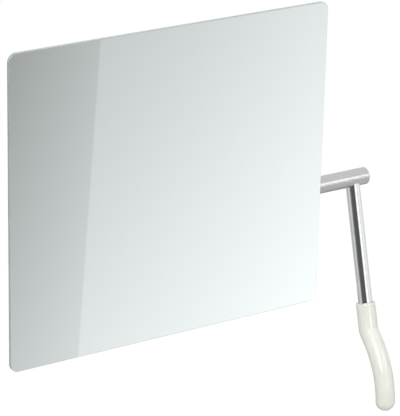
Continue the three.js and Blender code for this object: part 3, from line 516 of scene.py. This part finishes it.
# The carriers in millimetres: their front lies on the tapes, and brim and crown are half widths
CARRIER = dict(front=-90.6, across=185, below=130, above=230)
HAT = dict(brim=35, crown=18, depth=14.6, sheet=2, bend=1.5)
STRAP_HOLE = dict(above=23.55, radius=2.8)
low, high = HAT["sheet"] / 2, HAT["depth"] - HAT["sheet"] / 2
hat_line = [
    (-HAT["brim"], low), (-HAT["crown"], low), (-HAT["crown"], high),
    (HAT["crown"], high), (HAT["crown"], low), (HAT["brim"], low)]
crown_holes = [
    (HAT["crown"], up * STRAP_HOLE["above"], 0, STRAP_HOLE["radius"]) for up in (-1, 1)]
for side, middle in (("left", -CARRIER["across"]), ("right", CARRIER["across"])):
    carrier = folded_sheet(
        hat_line, HAT["sheet"], HAT["bend"], -CARRIER["below"], CARRIER["above"],
        {2: crown_holes},
        lambda x, y, z: Vector((x + middle, y + CARRIER["front"], z)) * MM)
    show_broken(carrier, "carrier_" + side, 0.3 * MM, zinc_plating, "mirror")
    with_broken_edges("saddle_" + side, 0.6 * MM, cast_aluminium, "mirror")
    with_broken_edges("saddle_strap_" + side, 0.4 * MM, zinc_plating, "mirror")
    for end in ("upper", "lower"):
        socket_screw(f"strap_screw_{side}_{end}", (0, 1, 0), length=24 * MM, body="mirror", **M5)

# ---------- Bond tape and safety film ----------
# Black acrylic foam tape, 1 mm thick, joins the carriers to the pane. The grey film behind the
# pane holds the pieces together if the glass breaks.

black_foam = surface_finish(
    "black foam tape", [(0.012, 0.012, 0.013), (0.03, 0.03, 0.032)], (0.75, 0.9), 2600, 0.00008)
for side in ("left", "right"):
    for edge in ("outer", "inner"):
        with_broken_edges(f"bond_tape_{side}_{edge}", 0.15 * MM, black_foam, "mirror")
grey_film = surface_finish(
    "grey safety film", [(0.26, 0.28, 0.285), (0.31, 0.33, 0.335)], (0.5, 0.68), 500, 0.00003,
    patches=18)
with_broken_edges("safety_film", 0, grey_film, "mirror")

# ---------- Glass ----------
# Silvered float glass, 600 x 540 x 6 mm with 15 mm corners. Its edge is ground flat, broken front
# and back by a narrow arris and polished, and shows the grey green of thick glass.

PANE = dict(
    width=600 * MM, height=540 * MM, corner=15 * MM, front=-98 * MM, back=-92 * MM,
    middle=76 * MM)
ARRIS = 0.8 * MM
PANE_CORNER_FACETS = 18


def pane_ring(work, inset, y):
    """The pane's outline, moved in by inset, at the given depth."""
    ring = []
    half_x, half_z = PANE["width"] / 2 - PANE["corner"], PANE["height"] / 2 - PANE["corner"]
    radius = PANE["corner"] - inset
    for quarter, (sx, sz) in enumerate(((1, 1), (-1, 1), (-1, -1), (1, -1))):
        for i in range(PANE_CORNER_FACETS + 1):
            angle = math.pi / 2 * (quarter + i / PANE_CORNER_FACETS)
            x = sx * half_x + radius * math.cos(angle)
            z = PANE["middle"] + sz * half_z + radius * math.sin(angle)
            ring.append(work.verts.new((x, y, z)))
    return ring


def silver_finish():
    """Mirror seen through clear glass: a sharp reflection, faintly green, with no grain to see."""
    material = bpy.data.materials.new("silvered glass")
    material.use_nodes = True
    nodes, link = material.node_tree.nodes, material.node_tree.links.new
    shader = nodes["Principled BSDF"]
    shader.inputs["Metallic"].default_value = 1.0
    shader.inputs["Roughness"].default_value = 0.0
    relief = nodes.new("ShaderNodeGroup")
    relief.node_tree = RELIEF
    relief.inputs["Patches per metre"].default_value = 3
    colour = nodes.new("ShaderNodeValToRGB")
    colour.color_ramp.elements[0].color = (0.895, 0.950, 0.946, 1)
    colour.color_ramp.elements[1].color = (0.905, 0.962, 0.958, 1)
    link(relief.outputs["Patches"], colour.inputs["Fac"])
    link(colour.outputs["Color"], shader.inputs["Base Color"])
    return material


silvered = silver_finish()
polished_edge = surface_finish(
    "polished glass edge", [(0.35, 0.40, 0.40), (0.42, 0.47, 0.465)], (0.05, 0.12), 300, 0.000004,
    patches=40)
polished_edge.node_tree.nodes["Principled BSDF"].inputs["Coat Weight"].default_value = 1.0
back_paint = surface_finish(
    "backing paint", [(0.20, 0.21, 0.21), (0.25, 0.26, 0.26)], (0.5, 0.6), 700, 0.00002)
SILVERED, GROUND, PAINTED = 0, 1, 2  # which of the pane's three finishes a face has
pane = bmesh.new()
outline = [
    pane_ring(pane, ARRIS, PANE["front"]),
    pane_ring(pane, 0, PANE["front"] + ARRIS),
    pane_ring(pane, 0, PANE["back"] - ARRIS),
    pane_ring(pane, ARRIS, PANE["back"]),
]
for near, far in zip(outline, outline[1:]):
    for i in range(len(near)):
        j = (i + 1) % len(near)
        pane.faces.new((near[i], near[j], far[j], far[i])).material_index = GROUND
pane.faces.new(outline[0]).material_index = SILVERED
pane.faces.new(outline[-1]).material_index = PAINTED
bmesh.ops.recalc_face_normals(pane, faces=pane.faces)
show(
    "silvered_pane", pane, [silvered, polished_edge, back_paint], "mirror",
    ["mirror_glass"], sharp=20)

# ---------- Lever ----------
# Polished stainless tube of 25 mm, coped to sit on the horizontal tube 28 mm from its end and
# leaning 15 degrees forward. A hidden bolt inside the tube pulls it up against its saddle washer.

LEVER = dict(radius=12.5 * MM, wall=2 * MM, end=262 * MM, x=397 * MM, lean=math.radians(15))
LEVER_TOP = AXIS + Vector((LEVER["x"], 0, 0))
FROM_LEVER = Matrix.Translation(LEVER_TOP) @ Matrix.Rotation(-LEVER["lean"], 4, "X")
COPE_GAP = 0.02 * MM  # between the lever's end and the horizontal tube
COPE_EASE = 0.15 * MM
LEVER_EASE = 0.4 * MM
polished_steel = surface_finish(
    "polished steel", [(0.80, 0.81, 0.81), (0.86, 0.87, 0.87)], (0.02, 0.035), 900, 0.0000005,
    patches=90, metallic=1.0)


def coped_ring(work, radius, lift, segments=TUBE_FACETS):
    """A ring round the lever where it meets the horizontal tube, with lift below it."""
    ring = []
    for i in range(segments):
        angle = 2 * math.pi * i / segments
        x, y = radius * math.cos(angle), radius * math.sin(angle)
        z = -math.sqrt((TUBE["radius"] + lift) ** 2 - y * y)
        ring.append(work.verts.new(FROM_LEVER @ Vector((x, y, z))))
    return ring


def flat_ring(work, radius, distance, segments=TUBE_FACETS):
    """A ring round the lever at a distance from the horizontal tube's axis."""
    ring = []
    for i in range(segments):
        angle = 2 * math.pi * i / segments
        x, y = radius * math.cos(angle), radius * math.sin(angle)
        ring.append(work.verts.new(FROM_LEVER @ Vector((x, y, -distance))))
    return ring


def skin(work, rings, closed=False):
    """Quads between each ring and the next, and from the last to the first if closed."""
    pairs = list(zip(rings, rings[1:])) + ([(rings[-1], rings[0])] if closed else [])
    for near, far in pairs:
        for i in range(len(near)):
            j = (i + 1) % len(near)
            work.faces.new((near[i], near[j], far[j], far[i]))


lever = bmesh.new()
inner = LEVER["radius"] - LEVER["wall"]
skin(lever, [
    coped_ring(lever, inner, COPE_GAP),
    coped_ring(lever, LEVER["radius"] - COPE_EASE, COPE_GAP),
    coped_ring(lever, LEVER["radius"], COPE_EASE),
    flat_ring(lever, LEVER["radius"], LEVER["end"] - LEVER_EASE),
    flat_ring(lever, LEVER["radius"] - LEVER_EASE, LEVER["end"]),
    flat_ring(lever, inner, LEVER["end"]),
], closed=True)
bmesh.ops.recalc_face_normals(lever, faces=lever.faces)
show("lever_tube_polished", lever, [polished_steel], "mirror", ["lever_tube"])
for node in ("lever_insert", "lever_washer", "lever_bolt"):
    with_broken_edges(node, 0, zinc_plating, "mirror")

# ---------- Grip ----------
# Ivory polyamide moulded over a sleeve: straight where it holds the lever, then a tight bend
# forward, a long sweep back down and a round tip. A small headless screw behind fixes it.

GRIP = dict(
    start=222 * MM, radius=16.99 * MM, rim=1.6 * MM, bore=12.75 * MM, sleeve=45 * MM,
    slope=16 * MM, lead_in=0.5 * MM, past_lever=1 * MM)
KINK = dict(radius=20 * MM, angle=math.radians(30), facets=20)
SWEEP = dict(radius=150 * MM, angle=math.radians(42), facets=40)
GRIP_FACETS = 96
GRIP_RIM_FACETS = 8
GRIP_TIP_FACETS = 16
ivory_polyamide = surface_finish(
    "ivory polyamide", [(0.81, 0.81, 0.737), (0.84, 0.84, 0.767)], (0.09, 0.13), 1100, 0.000004,
    patches=45)


def grip_ring(work, place, heading, radius):
    """A ring across the grip's centre line, in the plane of the lever's lean."""
    ring = []
    for i in range(GRIP_FACETS):
        angle = 2 * math.pi * i / GRIP_FACETS
        forward = radius * math.sin(angle)
        y = place[0] - forward * math.cos(heading)
        z = place[1] + forward * math.sin(heading)
        ring.append(work.verts.new(FROM_LEVER @ Vector((radius * math.cos(angle), y, z))))
    return ring


def grip_rings(work):
    """Rings from the bottom of the socket, over the rim and down the outside, and the tip."""
    socket_end = LEVER["end"] + GRIP["past_lever"]
    rings = [
        grip_ring(work, (0, -socket_end), 0, GRIP["bore"]),
        grip_ring(work, (0, -GRIP["start"] - GRIP["lead_in"]), 0, GRIP["bore"]),
        grip_ring(work, (0, -GRIP["start"]), 0, GRIP["bore"] + GRIP["lead_in"]),
    ]
    for i in range(GRIP_RIM_FACETS + 1):
        angle = math.pi / 2 * i / GRIP_RIM_FACETS
        ahead = GRIP["rim"] * (1 - math.cos(angle))
        radius = GRIP["radius"] - GRIP["rim"] * (1 - math.sin(angle))
        rings.append(grip_ring(work, (0, -GRIP["start"] - ahead), 0, radius))
    y, z, heading = 0, -GRIP["start"] - GRIP["sleeve"], 0
    rings.append(grip_ring(work, (y, z), heading, GRIP["radius"]))
    for bend, turn in ((KINK, 1), (None, 0), (SWEEP, -1)):
        steps = bend["facets"] if bend else 1
        length = bend["radius"] * bend["angle"] if bend else GRIP["slope"]
        for _ in range(steps):
            half = turn * bend["angle"] / steps / 2 if bend else 0
            chord = length / steps * (math.sin(half) / half if half else 1)
            heading += half
            y -= chord * math.sin(heading)
            z -= chord * math.cos(heading)
            heading += half
            rings.append(grip_ring(work, (y, z), heading, GRIP["radius"]))
    for i in range(1, GRIP_TIP_FACETS):
        angle = math.pi / 2 * i / GRIP_TIP_FACETS
        ahead = GRIP["radius"] * math.sin(angle)
        place = (y - ahead * math.sin(heading), z - ahead * math.cos(heading))
        rings.append(grip_ring(work, place, heading, GRIP["radius"] * math.cos(angle)))
    tip = (0, y - GRIP["radius"] * math.sin(heading), z - GRIP["radius"] * math.cos(heading))
    return rings, work.verts.new(FROM_LEVER @ Vector(tip))


grip = bmesh.new()
rings, tip = grip_rings(grip)
skin(grip, rings)
for i in range(GRIP_FACETS):
    grip.faces.new((rings[-1][i], rings[-1][(i + 1) % GRIP_FACETS], tip))
grip.faces.new(rings[0])
bmesh.ops.recalc_face_normals(grip, faces=grip.faces)
show("grip_moulding", grip, [ivory_polyamide], "mirror", ["grip"], sharp=50)
with_broken_edges("grip_screw", 0.1 * MM, zinc_plating, "mirror")

# ---------- Studio ----------
# A plain white studio: pale floor, even white surroundings, a large soft lamp in front on the left
# and a smaller one on the right. Cards that only reflections see shade the glass and the lever.

studio = bpy.data.worlds.new("studio")
scene.world = studio
studio.use_nodes = True
nodes, link = studio.node_tree.nodes, studio.node_tree.links.new
surroundings = nodes["Background"]
surroundings.inputs["Color"].default_value = (1, 1, 1, 1)


def seen_directly(nodes, link):
    """1 for camera, glossy and transmission rays, which show the surroundings, else 0."""
    path = nodes.new("ShaderNodeLightPath")
    seen = path.outputs["Is Camera Ray"]
    for ray in ("Is Glossy Ray", "Is Transmission Ray"):
        either = nodes.new("ShaderNodeMath")
        either.operation = "MAXIMUM"
        link(seen, either.inputs[0])
        link(path.outputs[ray], either.inputs[1])
        seen = either.outputs[0]
    return seen


ambient = nodes.new("ShaderNodeMapRange")
ambient.inputs["To Min"].default_value = 0.75
ambient.inputs["To Max"].default_value = 1.0
link(seen_directly(nodes, link), ambient.inputs["Value"])
link(ambient.outputs["Result"], surroundings.inputs["Strength"])

LAMP_TARGET = Vector((0.40, -0.10, -0.18))  # beside the lever
LAMP_DISTANCE = 3.0


def soft_lamp(name, azimuth, elevation, width, height, brightness):
    """Rectangular lamp on the lever, at these degrees from straight ahead and from level."""
    around, above = math.radians(azimuth), math.radians(elevation)
    level = math.cos(above)
    towards = Vector((math.sin(around) * level, -math.cos(around) * level, math.sin(above)))
    light = bpy.data.lights.new(name, "AREA")
    light.shape = "RECTANGLE"
    light.size, light.size_y = width, height
    light.energy = brightness * math.pi * width * height
    lamp = bpy.data.objects.new(name, light)
    lamp.location = LAMP_TARGET + LAMP_DISTANCE * towards
    lamp.rotation_mode = "QUATERNION"
    lamp.rotation_quaternion = (-towards).to_track_quat("-Z", "Y")
    lamp.visible_camera = False
    scene.collection.objects.link(lamp)


soft_lamp("front_softbox", -42, 27, 1.4, 1.65, 4.8)
soft_lamp("side_softbox", 32.7, 24, 0.6, 0.8, 4.2)


def floor_paint():
    """White to the camera and in reflections, with the object's shadow left on it."""
    material = bpy.data.materials.new("pale floor")
    material.use_nodes = True
    nodes, link = material.node_tree.nodes, material.node_tree.links.new
    shader = nodes["Principled BSDF"]
    shader.inputs["Base Color"].default_value = (0.45, 0.45, 0.45, 1)
    shader.inputs["Roughness"].default_value = 0.9
    white = nodes.new("ShaderNodeEmission")
    white.inputs["Strength"].default_value = 1.165
    share = nodes.new("ShaderNodeMath")
    share.operation = "MULTIPLY"
    share.inputs[1].default_value = 0.8
    link(seen_directly(nodes, link), share.inputs[0])
    mix = nodes.new("ShaderNodeMixShader")
    link(share.outputs[0], mix.inputs["Fac"])
    link(shader.outputs[0], mix.inputs[1])
    link(white.outputs[0], mix.inputs[2])
    link(mix.outputs[0], nodes["Material Output"].inputs["Surface"])
    return material


FLOOR_HEIGHT = -1.3
slab = bmesh.new()
bmesh.ops.create_grid(slab, x_segments=4, y_segments=4, size=14)
floor_mesh = mesh_of(slab, "floor")
floor = bpy.data.objects.new("floor", floor_mesh)
floor.location.z = FLOOR_HEIGHT
floor_mesh.materials.append(floor_paint())
scene.collection.objects.link(floor)


def only_in_reflections(card):
    """A studio card that neither the camera nor any shadow shows."""
    card.visible_camera = card.visible_diffuse = card.visible_shadow = False
    card.visible_transmission = card.visible_volume_scatter = False
    scene.collection.objects.link(card)


def card_paint(name, for_mirror):
    """A glow that only sharp mirror rays see, or only all other glossy rays, and its node."""
    material = bpy.data.materials.new(name)
    material.use_nodes = True
    nodes, link = material.node_tree.nodes, material.node_tree.links.new
    nodes.remove(nodes["Principled BSDF"])
    glow = nodes.new("ShaderNodeEmission")
    clear = nodes.new("ShaderNodeBsdfTransparent")
    path = nodes.new("ShaderNodeLightPath")
    mix = nodes.new("ShaderNodeMixShader")
    link(clear.outputs[0], mix.inputs[1 if for_mirror else 2])
    link(glow.outputs[0], mix.inputs[2 if for_mirror else 1])
    link(path.outputs["Is Singular Ray"], mix.inputs["Fac"])
    link(mix.outputs[0], nodes["Material Output"].inputs["Surface"])
    return material, glow


def mirror_card():
    """Large card before the mirror and along the floor, shaded, with a darker slanted end.

    It is laid out from the viewpoint's mirror image, so it fills the pane as in the photograph.
    """
    distance = 1.5
    darkest, lightest = 0.36, 1.06
    half_width, rise, run, above_floor = 7, 7, 5, 0.02
    viewer = camera.matrix_world.translation
    image = Vector((viewer.x, 2 * PANE["front"] - viewer.y, viewer.z))
    behind = image.y - PANE["front"]
    spread = (behind + distance) / behind
    centre = image + spread * (Vector((0, PANE["front"], PANE["middle"])) - image)
    half_x, half_z = spread * PANE["width"] / 2, spread * PANE["height"] / 2
    material, glow = card_paint("shaded card", True)
    nodes, link = material.node_tree.nodes, material.node_tree.links.new
    place = nodes.new("ShaderNodeTexCoord")
    split = nodes.new("ShaderNodeSeparateXYZ")
    link(place.outputs["Object"], split.inputs[0])
    climb = nodes.new("ShaderNodeMath")
    climb.operation = "SUBTRACT"
    link(split.outputs["Z"], climb.inputs[0])
    link(split.outputs["Y"], climb.inputs[1])

    def plane(constant, across, upward):
        """constant + across * u + upward * v, with u and v running from -1 to 1 over the mirror."""
        first = nodes.new("ShaderNodeMath")
        first.operation = "MULTIPLY_ADD"
        link(split.outputs["X"], first.inputs[0])
        first.inputs[1].default_value = across / half_x
        first.inputs[2].default_value = constant
        second = nodes.new("ShaderNodeMath")
        second.operation = "MULTIPLY_ADD"
        link(climb.outputs[0], second.inputs[0])
        second.inputs[1].default_value = upward / half_z
        link(first.outputs[0], second.inputs[2])
        return second.outputs[0]

    band = nodes.new("ShaderNodeMapRange")
    band.inputs["From Min"].default_value, band.inputs["From Max"].default_value = -0.006, 0.006
    link(plane(0.52, 1, -0.064), band.inputs["Value"])
    shade = nodes.new("ShaderNodeMix")
    link(band.outputs["Result"], shade.inputs["Factor"])
    link(plane(0.79 - darkest, 0.292, -0.118), shade.inputs["A"])
    link(plane(0.804 - darkest, 0.150, -0.114), shade.inputs["B"])
    folded = nodes.new("ShaderNodeMath")
    folded.operation = "PINGPONG"
    folded.inputs[1].default_value = lightest - darkest
    link(shade.outputs["Result"], folded.inputs[0])
    raised = nodes.new("ShaderNodeMath")
    link(folded.outputs[0], raised.inputs[0])
    raised.inputs[1].default_value = darkest
    link(raised.outputs[0], glow.inputs["Strength"])
    work = bmesh.new()
    foot = FLOOR_HEIGHT + above_floor - centre.z
    rows = [
        [work.verts.new((x, y, z)) for x in (-half_width, half_width)]
        for y, z in ((run, foot), (0, foot), (0, rise))]
    for low, high in zip(rows, rows[1:]):
        work.faces.new((low[0], low[1], high[1], high[0]))
    mesh = mesh_of(work, "mirror_card")
    mesh.materials.append(material)
    card = bpy.data.objects.new("mirror_card", mesh)
    card.location = centre
    only_in_reflections(card)


mirror_card()

BARE_LEVER_MIDDLE = -0.118
CARD_DISTANCE = 2.5
CARD_FACET_DEGREES = 6


def lever_card(name, start, end, brightness, bottom=-0.2, top=0.2):
    """Curved card round the lever, between two angles from the photograph's line of sight."""
    middle = FROM_LEVER @ Vector((0, 0, BARE_LEVER_MIDDLE))
    up = (FROM_LEVER.to_3x3() @ Vector((0, 0, 1))).normalized()
    back = (camera.matrix_world.translation - middle).normalized()
    rise = back.dot(up)
    level = back - rise * up
    work = bmesh.new()
    steps = max(2, int((end - start) / CARD_FACET_DEGREES))
    columns = []
    for i in range(steps + 1):
        angle = math.radians(start + (end - start) * i / steps)
        towards = Matrix.Rotation(angle, 3, up) @ level - rise * up
        foot = middle + CARD_DISTANCE * towards
        columns.append([work.verts.new(foot + height * up) for height in (bottom, top)])
    for near, far in zip(columns, columns[1:]):
        work.faces.new((near[0], far[0], far[1], near[1]))
    mesh = mesh_of(work, name)
    material, glow = card_paint(name, False)
    glow.inputs["Strength"].default_value = brightness
    mesh.materials.append(material)
    only_in_reflections(bpy.data.objects.new(name, mesh))


lever_card("grey_card_left", -179, -113, 0.60, top=1.4)
lever_card("grey_card_middle", -113, -97, 0.46)
lever_card("grey_card_right", -97, -58, 0.68)
lever_card("dim_card", -58, -44, 0.25)
lever_card("dark_card", -44, 24, 0.11)
lever_card("bright_card", 40, 51, 1.9, top=0.7)
lever_card("pale_card", 51, 75, 0.90)
lever_card("grey_card_behind", 112, 181, 0.78, top=1.4)
lever_card("streak_card", 36, 45, 14.0, bottom=-0.31, top=-0.19)
lever_card("dark_card_upper_left", -74, -46, 0.13, bottom=0.3, top=1.4)
lever_card("dark_card_upper_right", 84, 108, 0.13, bottom=0.3, top=1.4)


def floor_card(name, corners, height, brightness):
    """Grey card lying just over the floor, so that undersides reflect less light."""
    work = bmesh.new()
    work.faces.new([work.verts.new((x, y, FLOOR_HEIGHT + height)) for x, y in corners])
    mesh = mesh_of(work, name)
    material, glow = card_paint(name, False)
    glow.inputs["Strength"].default_value = brightness
    mesh.materials.append(material)
    only_in_reflections(bpy.data.objects.new(name, mesh))


SIDE, BEHIND = 12, 0.3  # half the floor cards' width, and where the darker one starts
floor_card(
    "floor_card_front", [(-SIDE, -SIDE), (SIDE, -SIDE), (SIDE, BEHIND), (-SIDE, BEHIND)],
    0.01, 0.78)
floor_card(
    "floor_card_behind", [(-SIDE, BEHIND), (SIDE, BEHIND), (SIDE, SIDE), (-SIDE, SIDE)],
    0.01, 0.35)
floor_card("floor_card_dark", [(0.1, -0.6), (-5.0, -3.2), (-2.0, -6.5), (0.25, -0.8)], 0.03, 0.15)
